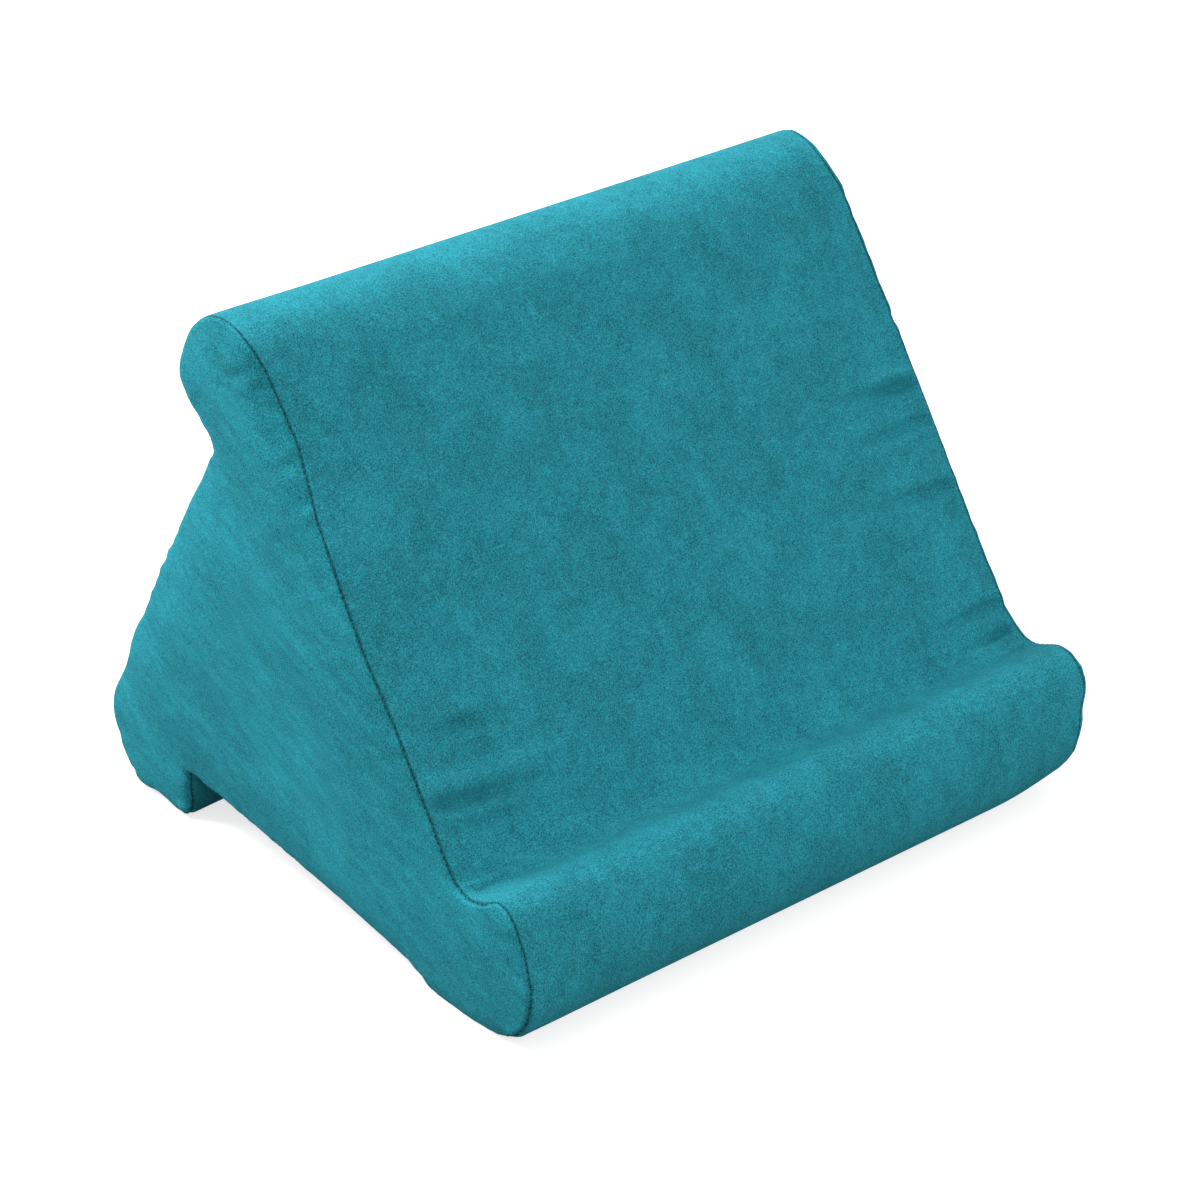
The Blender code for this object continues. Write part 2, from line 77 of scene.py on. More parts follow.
# Fineness of the cover before its last subdivision
CLOTH_STEP = 4.6 * MM
CREASED_STEP = 2.6 * MM
ARC_STEP = math.radians(18)
PANEL_STEP = 5.5 * MM
PANEL_CLEARANCE = 0.7  # of the panel step, between its inner points and its rim
NEAR_SEAM = (0.0, 1.6, 3.6, 6.4, 10.0)  # the first loops from a seam inward, in millimetres
DOME_ANGLES = (13, 27, 42, 58, 74, 90)  # loops of the rounded ends, in degrees
NEARLY = 0.01 * MM
ON_SEAM = 0.1 * MM

# Seams: how deep they sink, how soon the cover rounds into them, how far the borders that meet in them shift
# outward, the hem turned in below, which is deeper at the zip's slot, and the width of the painted shade along them
SEAM_SINK = 0.5 * MM
SEAM_ROUNDING = 2.6 * MM
SEAM_SHIFT = 0.15 * MM
HEM = 1.4 * MM
SLOT_HEM = 3.1 * MM
SEAM_SHADE_WIDTH = 0.4 * MM

# Slot of the zip in the underside, by its setback from the notch
ZIP_SETBACK = 25 * MM
SLOT_HALF_WIDTH = 5 * MM
SLOT_HALF_LENGTH = 104 * MM
SLOT_BORDER_END = SLOT_HALF_LENGTH + 5 * MM  # borders beyond this belong to the end seams

# Room for the end's rounding: its share of a corner's radius, its growth away from the corner, and at the floor
ROOM_SHARE = 0.55
ROOM_GROWTH = 0.3
FLOOR_ROOM = 6 * MM
FLOOR_LEVEL = 0.5 * MM

# Foam: how far it lies inside the cover, its stations along X, and the pocket that clears the zip
FOAM_INSET = 3.4 * MM
ZIP_POCKET_HALF_WIDTH = 18 * MM
ZIP_POCKET_DEPTH = 4 * MM
FOAM_STATIONS = (
    (-134.0, 0.9), (-132.0, 0.3), (-118.0, 0.0), (-60.0, 0.0), (0.0, 0.0), (60.0, 0.0), (88.0, 0.0), (103.0, 0.0),
    (118.0, 0.0), (132.0, 0.3), (134.0, 0.9),
)

# Marks of the cover's faces
WRAP, LEFT_END, RIGHT_END, SLOT = range(4)


# Outline

def signed_radius(corner):
    return -corner.radius * MM if corner.hollow else corner.radius * MM


def tangent_direction(start, end):
    """Outward direction of the straight from one round corner to the next."""
    across = Vector((end.y - start.y, end.z - start.z)) * MM
    ahead = across.normalized()
    lean = (signed_radius(start) - signed_radius(end)) / across.length
    return ahead * lean + Vector((ahead.y, -ahead.x)) * math.sqrt(1.0 - lean * lean)


def corner_point(corner, outward):
    return Vector((corner.y, corner.z)) * MM + outward * signed_radius(corner)


def straight_shares(name, length):
    """Where the points of a straight lie, as shares of its length; the slot's edges are among them."""
    step = CREASED_STEP if name == "head_front" else CLOTH_STEP
    if name == "base_edge":
        edges = [length - ZIP_SETBACK - SLOT_HALF_WIDTH, length - ZIP_SETBACK + SLOT_HALF_WIDTH]
    else:
        edges = []
    shares = []
    for low, high in zip([0.0] + edges, edges + [length]):
        parts = max(1, math.ceil((high - low) / step))
        shares += [(low + (high - low) * part / parts) / length for part in range(parts)]
    return shares[1:]


def make_outline():
    """Points once round the outline, with their outward directions and room to move inward."""
    names = list(CORNERS)
    places, outwards, rooms = [], [], []
    for index, name in enumerate(names):
        corner = CORNERS[name]
        following = CORNERS[names[(index + 1) % len(names)]]
        arriving = tangent_direction(CORNERS[names[index - 1]], corner)
        leaving = tangent_direction(corner, following)
        turn = math.atan2(arriving.cross(leaving), arriving.dot(leaving))
        heading = math.atan2(arriving.y, arriving.x)
        step = CREASED_STEP if name in ("channel", "lip") else CLOTH_STEP
        length = abs(turn) * corner.radius * MM
        steps = max(3, math.ceil(abs(turn) / ARC_STEP), math.ceil(length / step))
        for number in range(steps + 1):
            angle = heading + turn * number / steps
            outward = Vector((math.cos(angle), math.sin(angle)))
            places.append(corner_point(corner, outward))
            outwards.append(outward)
            rooms.append(math.inf if corner.hollow else corner.radius * MM)
        start = corner_point(corner, leaving)
        end = corner_point(following, leaving)
        for share in straight_shares(name, (end - start).length):
            places.append(start.lerp(end, share))
            outwards.append(leaving)
            rooms.append(math.inf)
    places, outwards, rooms = np.array(places), np.array(outwards), np.array(rooms)
    rooms[places[:, 1] < FLOOR_LEVEL] = FLOOR_ROOM
    apart = np.linalg.norm(places[:, None] - places[None], axis=2)
    alike = outwards @ outwards.T > 0.0
    reach = ROOM_SHARE * rooms[None] + ROOM_GROWTH * apart
    reach[~alike | ~np.isfinite(rooms)[None]] = np.inf
    return places, outwards, reach.min(axis=1)


PLACES, OUTWARDS, ROOMS = make_outline()
ALONG = np.concatenate([[0.0], np.cumsum(np.linalg.norm(np.diff(PLACES, axis=0), axis=1))])
PERIMETER = ALONG[-1] + np.linalg.norm(PLACES[0] - PLACES[-1])
FACE_OUTWARD = np.array(tangent_direction(CORNERS["head_front"], CORNERS["channel"]))
FACE_UPWARD = np.array([FACE_OUTWARD[1], -FACE_OUTWARD[0]])
FACE_FOOT = np.array(corner_point(CORNERS["channel"], Vector(FACE_OUTWARD)))


# How far each seam strays towards the middle, by the distance along the outline, both in millimetres
LEFT_STRAY = [
    (0, 0), (140, -1.0), (160, -1.2), (172, -0.8), (230, -1.5), (310, 0.6), (380, -0.5), (452, -0.4), (466, 0),
    (478, 0.6), (490, 2.6), (500, 3.3), (517, 4.0), (527, 2.7), (543, 0.2), (568, -1.0), (594, -1.4), (616, -0.7),
    (640, -0.9), (667, -1.1), (677, -0.8), (687, -2.0), (692, -2.4), (697, -0.2), (709, -0.4), (718, -0.2),
    (727, -1.0), (740, -2.0), (750, -2.2), (775, -0.8),
]
RIGHT_STRAY = [
    (0, 0), (90, 0.6), (160, -0.8), (230, 0.8), (310, -0.6), (380, 0.6), (452, -0.4), (490, 0.9), (530, 0.5),
    (580, -0.6), (640, 0.4), (690, -0.8), (730, 0.5), (775, -0.3),
]


# How much fuller the left end is than the solids, by the distance along the outline, both in millimetres
LEFT_FULLNESS = [
    (0, 1.8), (8, 2.0), (12, 1.0), (16, 0.2), (24, -0.5), (36, -0.4), (60, -0.2), (72, 0.2), (83, 0.6), (95, 0.9),
    (107, 1.3), (119, 1.7), (127, 1.5), (133, 0.6), (145, 0.4), (160, 1.2), (167, 1.7), (172, 0.6), (180, 0.2),
    (185, -0.8), (190, -1.5), (196, -0.9), (202, 0.0), (206, -0.7), (209, -1.7), (213, -0.2), (217, 1.2),
    (222, 1.3), (228, 1.7), (234, 1.6), (239, 1.0), (245, 0.4), (252, -0.5), (260, -0.4), (267, 0.5),
    (272, 1.6), (278, 2.1), (284, 1.9), (290, 1.1), (297, 1.5), (309, 1.9), (318, 2.1), (326, 1.9), (335, 1.3),
    (345, 1.3), (361, 1.0), (368, 0.4), (374, -0.1), (384, -0.2), (388, -0.6), (392, 0.0), (397, 1.0), (401, 0.8),
    (405, 0.1), (411, -0.9), (415, -1.0), (419, 0.0), (424, 0.6), (429, 1.0), (433, 0.8), (440, 0.3), (450, 0.1),
    (460, 0.5), (470, 0.6), (500, 0.0), (738, 0.3), (750, 0.2), (760, -0.1), (768, 0.2), (774, 1.0), (782, 1.6),
    (792, 1.9),
]


class Crease(NamedTuple):
    """Crease of the front face, from near the seam to its far end, in millimetres."""

    end: int  # -1 left, 1 right
    near: tuple  # distance from the seam, height above the channel
    far: tuple
    depth: float  # negative for a ridge
    half_width: float


CREASES = [
    Crease(-1, (6, 23.2), (58, 16.8), 3.4, 2.4),
    Crease(-1, (8, 29.0), (74, 25.0), -2.2, 4.2),
    Crease(-1, (15, 46.6), (50, 42.4), 2.2, 2.8),
    Crease(-1, (12, 12.5), (40, 10.5), 2.0, 2.6),
    Crease(-1, (3, -5.0), (36, -6.8), -2.4, 1.2),
    Crease(-1, (3, -7.6), (36, -9.2), 2.6, 1.3),
    Crease(1, (0, -0.2), (27, -1.6), 4.0, 1.5),
    Crease(1, (5, 10.4), (36, 9.6), 2.8, 2.2),
    Crease(1, (1, 58.0), (50, 60.5), 3.0, 2.8),
    Crease(1, (1, 84.6), (46, 84.4), 3.0, 2.4),
    Crease(1, (1, 98.8), (34, 101.0), 3.6, 2.0),
    Crease(1, (1, 104.0), (38, 106.0), -2.4, 3.2),
]


# Cover: one closed form, swelled by a cloth simulation and then cut into its pieces

def stations():
    """Places along X of the cover's loops, from seam to seam; the ends of the zip's slot are among them."""
    half = [distance * MM for distance in NEAR_SEAM]
    for stop in (SEAM_X - SLOT_HALF_LENGTH, SEAM_X):
        start = half[-1]
        parts = math.ceil((stop - start) / CLOTH_STEP)
        half += [start + (stop - start) * part / parts for part in range(1, parts + 1)]
    left = [distance - SEAM_X for distance in half]
    return left + [-x for x in reversed(left[:-1])]


def dome_stages():
    """Shares of the end's rounding and of its crown, from the seam outward."""
    angles = [math.radians(angle) for angle in DOME_ANGLES]
    return [(1.0 - math.cos(angle), math.sin(angle)) for angle in angles]


def loop_at(x, share):
    inset = share * np.minimum(END_ROUNDING, ROOMS)
    flat = PLACES - OUTWARDS * inset[:, None]
    return np.column_stack([np.full(len(flat), x), flat])


def fill_panel(rim):
    """Points inside an end panel's rim, and the triangles that fill it."""
    ring = [Vector(place[1:]) for place in rim]
    low, high = rim[:, 1:].min(axis=0), rim[:, 1:].max(axis=0)
    inner = []
    row_step = PANEL_STEP * math.sqrt(0.75)
    for row, z in enumerate(np.arange(low[1], high[1], row_step)):
        for y in np.arange(low[0] + PANEL_STEP / 2 * (row % 2), high[0], PANEL_STEP):
            place = np.array([y, z])
            nearest = np.linalg.norm(rim[:, 1:] - place, axis=1).min()
            if nearest > PANEL_CLEARANCE * PANEL_STEP and is_inside(place, rim[:, 1:]):
                inner.append(Vector(place))
    count = len(ring)
    edges = [(index, (index + 1) % count) for index in range(count)]
    result = delaunay_2d_cdt(ring + inner, edges, [list(range(count))], 1, 1e-7)
    if len(result[0]) != count + len(inner):
        raise RuntimeError("the end panel's rim has points that lie on each other")
    return np.array([tuple(place) for place in result[0][count:]]), result[2]


def is_inside(place, ring):
    following = np.roll(ring, -1, axis=0)
    spans = (ring[:, 1] > place[1]) != (following[:, 1] > place[1])
    rise = following[spans] - ring[spans]
    crossing = ring[spans, 0] + (place[1] - ring[spans, 1]) / rise[:, 1] * rise[:, 0]
    return np.count_nonzero(crossing > place[0]) % 2 == 1


def from_zip():
    """How far the outline's points lie from the zip; infinite off the straight that holds it."""
    underside = np.array(tangent_direction(CORNERS["base_edge"], CORNERS["under_notch"]))
    along = np.array([-underside[1], underside[0]])
    notch_end = np.array(corner_point(CORNERS["under_notch"], Vector(underside)))
    level = np.abs((PLACES - notch_end) @ underside) < NEARLY
    return np.where(level, np.abs((notch_end - PLACES) @ along - ZIP_SETBACK), np.inf)


def add_object(name, mesh, material=None, smooth=False):
    """Puts a mesh into the scene as an object of the given name."""
    if smooth:
        mesh.polygons.foreach_set("use_smooth", [True] * len(mesh.polygons))
    if material is not None:
        mesh.materials.append(material)
    added = bpy.data.objects.new(name, mesh)
    bpy.context.scene.collection.objects.link(added)
    return added


def mesh_of(shape, name):
    """Turns a finished bmesh into a mesh and frees it."""
    mesh = bpy.data.meshes.new(name)
    shape.to_mesh(mesh)
    shape.free()
    return mesh


BULGE_REACH = 14 * MM


def make_cover_form():
    """Closed form of the whole cover, its faces marked as wrap, left end, right end or zip slot."""
    around = len(PLACES)
    middle = stations()
    domes = dome_stages()
    loops = [loop_at(-SEAM_X - END_CROWN * crown, share) for share, crown in reversed(domes)]
    loops += [loop_at(x, 0.0) for x in middle]
    loops += [loop_at(SEAM_X + END_CROWN * crown, share) for share, crown in domes]
    verts = [np.concatenate(loops)]
    in_slot = from_zip() < SLOT_HALF_WIDTH + NEARLY
    faces, marks = [], []
    for number in range(len(loops) - 1):
        x = (loops[number][0, 0] + loops[number + 1][0, 0]) / 2
        for index in range(around):
            after = (index + 1) % around
            low, high = number * around, (number + 1) * around
            faces.append((low + index, low + after, high + after, high + index))
            if x < -SEAM_X:
                mark = LEFT_END
            elif x > SEAM_X:
                mark = RIGHT_END
            elif abs(x) < SLOT_HALF_LENGTH and in_slot[index] and in_slot[after]:
                mark = SLOT
            else:
                mark = WRAP
            marks.append(mark)
    inner, triangles = fill_panel(loops[0])
    from_rim = np.linalg.norm(inner[:, None] - loops[0][None, :, 1:], axis=2).min(axis=1)
    bulge = END_BULGE * (1.0 - np.exp(-from_rim / BULGE_REACH))
    for mark, side, rim in ((LEFT_END, -1, 0), (RIGHT_END, 1, (len(loops) - 1) * around)):
        base = sum(len(group) for group in verts)
        x = side * (SEAM_X + END_CROWN + bulge)
        verts.append(np.column_stack([x, inner]))
        for triangle in triangles:
            corners = [index + rim if index < around else index - around + base for index in triangle]
            faces.append(tuple(reversed(corners)) if side < 0 else tuple(corners))
            marks.append(mark)
    mesh = bpy.data.meshes.new("cover_form")
    mesh.from_pydata(np.concatenate(verts).tolist(), [], faces)
    mesh.attributes.new("mark", "INT", "FACE").data.foreach_set("value", marks)
    return add_object("cover_form", mesh)


def positions(mesh):
    flat = np.empty(len(mesh.vertices) * 3)
    mesh.vertices.foreach_get("co", flat)
    return flat.reshape(-1, 3)


def set_positions(mesh, places):
    mesh.vertices.foreach_set("co", places.ravel())
    mesh.update()


LEAST_WEIGHT = 0.001


def weigh(form, name, weights):
    group = form.vertex_groups.new(name=name)
    for index, weight in enumerate(weights):
        if weight > LEAST_WEIGHT:
            group.add([index], float(weight), "REPLACE")


def near_corner(places, name, reach):
    """1 at a corner of the outline and 0 beyond reach from it."""
    corner = CORNERS[name]
    apart = np.abs(np.linalg.norm(places[:, 1:] - np.array([corner.y, corner.z]) * MM, axis=1)
                   - corner.radius * MM)
    return np.clip(1.0 - apart / reach, 0.0, 1.0)


# Cloth: how firmly the cover is held and how near its hollow corners, where it is loose, how long it swells, and
# how far it may travel
LIGHT_HOLD = 0.05
NOTCH_HOLD_REACH = 3 * MM
CHANNEL_HOLD = 0.5
CHANNEL_HOLD_REACH = 8 * MM
LOOSE_FROM_SEAM = 12 * MM
LOOSE_WIDTH = 14 * MM
CLOTH_FRAMES = 20
CLOTH_TRAVEL = 1.6 * MM


def swell(form):
    """Cloth simulation: the cover swells a little between its seams, and loose cloth beside them puckers."""
    before = positions(form.data)
    from_seam = np.abs(np.abs(before[:, 0]) - SEAM_X)
    held = np.where(from_seam < ON_SEAM, 1.0, LIGHT_HOLD)
    held = np.maximum(held, near_corner(before, "back_notch", NOTCH_HOLD_REACH))
    held = np.maximum(held, near_corner(before, "under_notch", NOTCH_HOLD_REACH))
    held = np.maximum(held, CHANNEL_HOLD * near_corner(before, "channel", CHANNEL_HOLD_REACH))
    held = np.maximum(held, np.where(before[:, 2] < FLOOR_LEVEL, 1.0, 0.0))
    weigh(form, "held", held)
    loose = np.exp(-((from_seam - LOOSE_FROM_SEAM) / LOOSE_WIDTH) ** 2)
    weigh(form, "loose", loose)
    cloth = form.modifiers.new("swell", "CLOTH").settings
    cloth.quality = 6
    cloth.mass = 0.15
    cloth.tension_stiffness = 12
    cloth.compression_stiffness = 12
    cloth.shear_stiffness = 4
    cloth.bending_stiffness = 0.15
    cloth.air_damping = 4
    cloth.vertex_group_mass = "held"
    cloth.pin_stiffness = 1.0
    cloth.use_pressure = True
    cloth.uniform_pressure_force = 2.0
    cloth.vertex_group_shrink = "loose"
    cloth.shrink_min = 0.0
    cloth.shrink_max = -0.035
    cloth.effector_weights.gravity = 0.0
    scene = bpy.context.scene
    for number in range(1, CLOTH_FRAMES + 1):
        scene.frame_set(number)
    shaped = form.evaluated_get(bpy.context.evaluated_depsgraph_get()).to_mesh()
    moved = positions(shaped) - before
    form.evaluated_get(bpy.context.evaluated_depsgraph_get()).to_mesh_clear()
    form.modifiers.clear()
    scene.frame_set(1)
    travel = np.linalg.norm(moved, axis=1, keepdims=True)
    print(f"cloth travel: mean {travel.mean() * 1000:.2f} mm, most {travel.max() * 1000:.2f} mm")
    set_positions(form.data, before + moved * CLOTH_TRAVEL / np.maximum(travel, CLOTH_TRAVEL))


EVEN_FROM = 0.55  # of the end's crown
EVENING_ROUNDS = 10
EVENING_SHARE = 0.6


def even_panels(form):
    """Evens out the end panels, where the rounding crowds the cover's points."""
    places = positions(form.data)
    edges = np.empty(len(form.data.edges) * 2, int)
    form.data.edges.foreach_get("vertices", edges)
    first, second = edges.reshape(-1, 2).T
    free = np.abs(places[:, 0]) > SEAM_X + EVEN_FROM * END_CROWN
    degree = np.bincount(edges, minlength=len(places))[:, None]
    for _ in range(EVENING_ROUNDS):
        total = np.zeros_like(places)
        np.add.at(total, first, places[second])
        np.add.at(total, second, places[first])
        places[free] = ((1.0 - EVENING_SHARE) * places + EVENING_SHARE * total / degree)[free]
    set_positions(form.data, places)


def subdivide(form):
    """One subdivision; the slot's faces go first."""
    shape = bmesh.new()
    shape.from_mesh(form.data)
    mark = shape.faces.layers.int["mark"]
    bmesh.ops.delete(shape, geom=[face for face in shape.faces if face[mark] == SLOT], context="FACES")
    shape.to_mesh(form.data)
    shape.free()
    smoother = form.modifiers.new("finer", "SUBSURF")
    smoother.levels = smoother.render_levels = 1
    smoother.boundary_smooth = "PRESERVE_CORNERS"
    fine = bpy.data.meshes.new_from_object(form.evaluated_get(bpy.context.evaluated_depsgraph_get()))
    form.modifiers.clear()
    form.data = fine


def smooth_step(values):
    clipped = np.clip(values, 0.0, 1.0)
    return clipped * clipped * (3.0 - 2.0 * clipped)


# Right end, in millimetres: where its easing starts along X and how soon it is full; how far the toe and lip
# draw in by their height, and where that fades to the back; how far the toe rises; how far the head drops off
# and the face swells, from which height and how soon
EASE_START, EASE_LENGTH, MOST_EASE = 88.0, 45.0, 1.15
TOE_EASE = (
    (-1, 7.0), (3, 7.4), (10, 8.2), (20, 6.4), (28, 3.3), (33, 0.9), (37, -2.2), (42, -4.0), (50, -3.0), (58, -0.6),
)
TOE_BACK, TOE_FADING = -52.0, 30.0
TOE_RISE, RISE_TOP = 4.4, 48.0
HEAD_DROP, HEAD_HEIGHT, HEAD_FADING = 3.4, 196.0, 14.0
HEAD_BACK, HEAD_BACK_FADING = 56.0, 20.0
FACE_SWELL, FACE_HEIGHT, FACE_FADING = 1.2, 52.0, 12.0


def end_ease(places):
    """The right end's toe is drawn up and in, its lip and face swell a little, and the head drops off."""
    x, y, z = places.T / MM
    near = smooth_step((x - EASE_START) / EASE_LENGTH)
    front = smooth_step((TOE_BACK - y) / TOE_FADING)
    inward = np.interp(z, *np.array(TOE_EASE).T) * front
    head = HEAD_DROP * smooth_step((z - HEAD_HEIGHT) / HEAD_FADING)
    inward += head * smooth_step((HEAD_BACK - y) / HEAD_BACK_FADING)
    inward -= FACE_SWELL * smooth_step((z - FACE_HEIGHT) / FACE_FADING)
    rise = TOE_RISE * np.clip((x - EASE_START) / EASE_LENGTH, 0.0, MOST_EASE) ** 2
    rise = rise * smooth_step((RISE_TOP - z) / RISE_TOP) * front
    return np.column_stack([-inward * near, np.zeros(len(x)), rise]) * MM


MOST_CROWN = 0.999  # share of the crown up to which the end's rounding is followed


class Surface:
    """Where the points of the fine cover lie: along the outline, from the seam, and on the front face."""

    def __init__(self, mesh):
        self.places = positions(mesh)
        self.on_seam = seam_points(mesh)
        flat = np.empty(len(mesh.vertices) * 3)
        mesh.vertex_normals.foreach_get("vector", flat)
        self.normals = flat.reshape(-1, 3)
        tree = KDTree(len(PLACES))
        for index, place in enumerate(PLACES):
            tree.insert((0.0, place[0], place[1]), index)
        tree.balance()
        found = [tree.find((0.0, place[1], place[2])) for place in self.places]
        self.index = np.array([index for _, index, _ in found])
        self.depth = np.array([distance for _, _, distance in found])
        self.outwards = np.column_stack([np.zeros(len(self.index)), OUTWARDS[self.index]])
        tangents = np.column_stack([-OUTWARDS[self.index, 1], OUTWARDS[self.index, 0]])
        self.along = ALONG[self.index] + ((self.places[:, 1:] - PLACES[self.index]) * tangents).sum(axis=1)
        self.end = np.sign(self.places[:, 0])
        self.from_seam = SEAM_X - np.abs(self.places[:, 0])
        self.height = (self.places[:, 1:] - FACE_FOOT) @ FACE_UPWARD
        self.facing = np.clip(self.normals[:, 1:] @ FACE_OUTWARD, 0.0, 1.0)

    def end_inset(self, x):
        """How far the rounded end draws in the outline at the given places along X."""
        beyond = np.clip((np.abs(x) - SEAM_X) / END_CROWN, 0.0, MOST_CROWN)
        return np.minimum(END_ROUNDING, ROOMS[self.index]) * (1.0 - np.sqrt(1.0 - beyond ** 2))

    def push(self, amount):
        """Moves every point along its normal."""
        self.places += self.normals * amount[:, None]


def seam_points(mesh):
    """Points that lie on both the wrap and an end."""
    marks = np.empty(len(mesh.polygons), int)
    mesh.attributes["mark"].data.foreach_get("value", marks)
    corners = np.empty(len(mesh.loops), int)
    mesh.loops.foreach_get("vertex_index", corners)
    totals = np.empty(len(mesh.polygons), int)
    mesh.polygons.foreach_get("loop_total", totals)
    on_end = np.repeat(marks != WRAP, totals)
    count = len(mesh.vertices)
    ends, wrap = (np.bincount(corners[chosen], minlength=count) for chosen in (on_end, ~on_end))
    return (ends > 0) & (wrap > 0)


STRAY_FADING, STRAY_FADING_ON_END = 20 * MM, 3.5 * MM
STRAY_SLOPE = 0.8


def stray(surface):
    """Slides the cover's points along its surface, so that the seams wander as sewn ones do."""
    shift = np.zeros(len(surface.places))
    beyond = np.maximum(0.0, -surface.from_seam)
    drawn = surface.end_inset(surface.places[:, 0])
    fading = np.where(surface.from_seam > 0.0, np.exp(-(surface.from_seam / STRAY_FADING) ** 2),
                      np.exp(-(np.hypot(beyond, drawn) / STRAY_FADING_ON_END) ** 2))
    for end, table in ((-1, LEFT_STRAY), (1, RIGHT_STRAY)):
        along, inward = np.array(table).T * MM
        strayed = np.interp(surface.along, along, inward, period=PERIMETER)
        shift += np.where(surface.end == end, -end * strayed * fading, 0.0)
    slid = surface.places[:, 0] + shift
    limit = STRAY_SLOPE * np.abs(shift)
    deeper = np.clip(surface.end_inset(slid) - drawn, -limit, limit)
    surface.places[:, 0] = slid
    surface.places -= surface.outwards * deeper[:, None]


# Left end: where its fullness starts and how soon it is full, how deep it goes into the panel, and the lump
# that hangs below the foot's inner side
FULL_START, FULL_LENGTH = 88 * MM, 42 * MM
FULL_EDGE, FULL_FADING = 2 * MM, 5 * MM
LUMP_DEPTH, LUMP_ALONG, LUMP_WIDTH = 2.6 * MM, 143 * MM, 13 * MM
LOWEST = -0.3 * MM


def fill_out(surface):
    """The stuffing presses the left end's edges out unevenly, and its foot is lumpy."""
    along, outward = np.array(LEFT_FULLNESS).T * MM
    amount = np.interp(surface.along, along, outward, period=PERIMETER)
    near = smooth_step((-surface.places[:, 0] - FULL_START) / FULL_LENGTH)
    near *= np.exp(-(np.maximum(0.0, surface.depth - FULL_EDGE) / FULL_FADING) ** 2)
    surface.places += surface.outwards * (amount * near)[:, None]
    surface.places[:, 2] -= LUMP_DEPTH * np.exp(-((surface.along - LUMP_ALONG) / LUMP_WIDTH) ** 2) * near
    surface.places[:, 2] = np.maximum(surface.places[:, 2], LOWEST)


# Creases: how much deeper the push goes than their depth says, the shoulders beside the valley, and how they start
# and run out along their length
CREASE_GAIN = 1.5
SHOULDER, SHOULDER_WIDTH = 0.42, 2.4
CREASE_END, CREASE_START, CREASE_START_LENGTH = 1.15, 0.35, 0.45
CREASE_FROM_SEAM = 5 * MM


def crease(surface):
    """Creases of the front face near its two ends."""
    amount = np.zeros(len(surface.places))
    inside = surface.from_seam > -ON_SEAM
    for fold in CREASES:
        near, far = np.array(fold.near) * MM, np.array(fold.far) * MM
        share = (surface.from_seam - near[0]) / (far[0] - near[0])
        height = near[1] + (far[1] - near[1]) * np.clip(share, -0.5, 1.5)
        across = (surface.height - height) / (fold.half_width * MM)
        valley = np.exp(-across ** 2) - SHOULDER * np.exp(-(across / SHOULDER_WIDTH) ** 2)
        reach = smooth_step(CREASE_END - share) * smooth_step((share + CREASE_START) / CREASE_START_LENGTH)
        amount -= fold.depth * MM * CREASE_GAIN * valley * reach * (surface.end == fold.end) * inside
    surface.push(amount * surface.facing ** 2 * smooth_step(surface.from_seam / CREASE_FROM_SEAM))


def waves(values, seed, finest, coarsest):
    """Uneven waves of about unit height along the given lengths, in metres, that close round the outline."""
    chooser = np.random.default_rng(seed)
    result = np.zeros(len(values))
    counts = [max(1, round(PERIMETER / length)) for length in np.geomspace(coarsest, finest, 7)]
    for count in counts:
        count += int(chooser.integers(-2, 3))
        phase = chooser.uniform(0.0, 2.0 * math.pi)
        result += np.sin(values / PERIMETER * 2.0 * math.pi * count + phase)
    return result / math.sqrt(len(counts) / 2)


# Puckers along the seams: their depth, wave lengths, reach and uneven strength; and the deeper gathers of the foot
PUCKER_DEPTH, PUCKER_WAVES = 0.16 * MM, (7 * MM, 19 * MM)
PUCKER_REACH, PUCKER_START = 7 * MM, 1.2 * MM
STRENGTH_WAVES = (60 * MM, 160 * MM)
STRENGTH_SWING, STRENGTH_MEAN, STRENGTH_LIMITS = 0.5, 0.6, (0.1, 1.6)
GATHER_DEPTH, GATHER_WAVES = 0.4 * MM, (7 * MM, 12 * MM)
GATHER_REACH, GATHER_REACH_ON_END, GATHER_START = 16 * MM, 8 * MM, 0.8 * MM
GATHER_WIDTH = 16 * MM
FOOT_ALONG, FOOT_TOP_ALONG, FOOT_TOP_SHARE = 165 * MM, 226 * MM, 0.25


def pucker(surface):
    """Small gathers that run off both seams, and the sunk seams themselves."""
    from_seam = np.abs(surface.from_seam)
    for end in (-1, 1):
        own = surface.end == end
        wave = waves(surface.along, 20 + end, *PUCKER_WAVES)
        strength = waves(surface.along, 30 + end, *STRENGTH_WAVES) * STRENGTH_SWING + STRENGTH_MEAN
        strength = np.clip(strength, *STRENGTH_LIMITS)
        fading = np.exp(-from_seam / PUCKER_REACH) * smooth_step(from_seam / PUCKER_START)
        surface.push(PUCKER_DEPTH * wave * strength * fading * own)
        foot = np.exp(-((surface.along - FOOT_ALONG) / GATHER_WIDTH) ** 2)
        foot += FOOT_TOP_SHARE * np.exp(-((surface.along - FOOT_TOP_ALONG) / GATHER_WIDTH) ** 2)
        gathers = waves(surface.along, 40 + end, *GATHER_WAVES)
        reach = np.where(surface.from_seam > 0.0, np.exp(-(from_seam / GATHER_REACH) ** 2),
                         np.exp(-(surface.depth / GATHER_REACH_ON_END) ** 2))
        surface.push(GATHER_DEPTH * gathers * foot * reach * smooth_step(from_seam / GATHER_START) * own)
    near = np.clip(1.0 - from_seam / SEAM_ROUNDING, 0.0, 1.0)
    sink = SEAM_SINK * (1.0 - np.sqrt(1.0 - near ** 2))
    reach = from_seam < SEAM_ROUNDING
    surface.places[reach] -= surface.outwards[reach] * sink[reach, None]


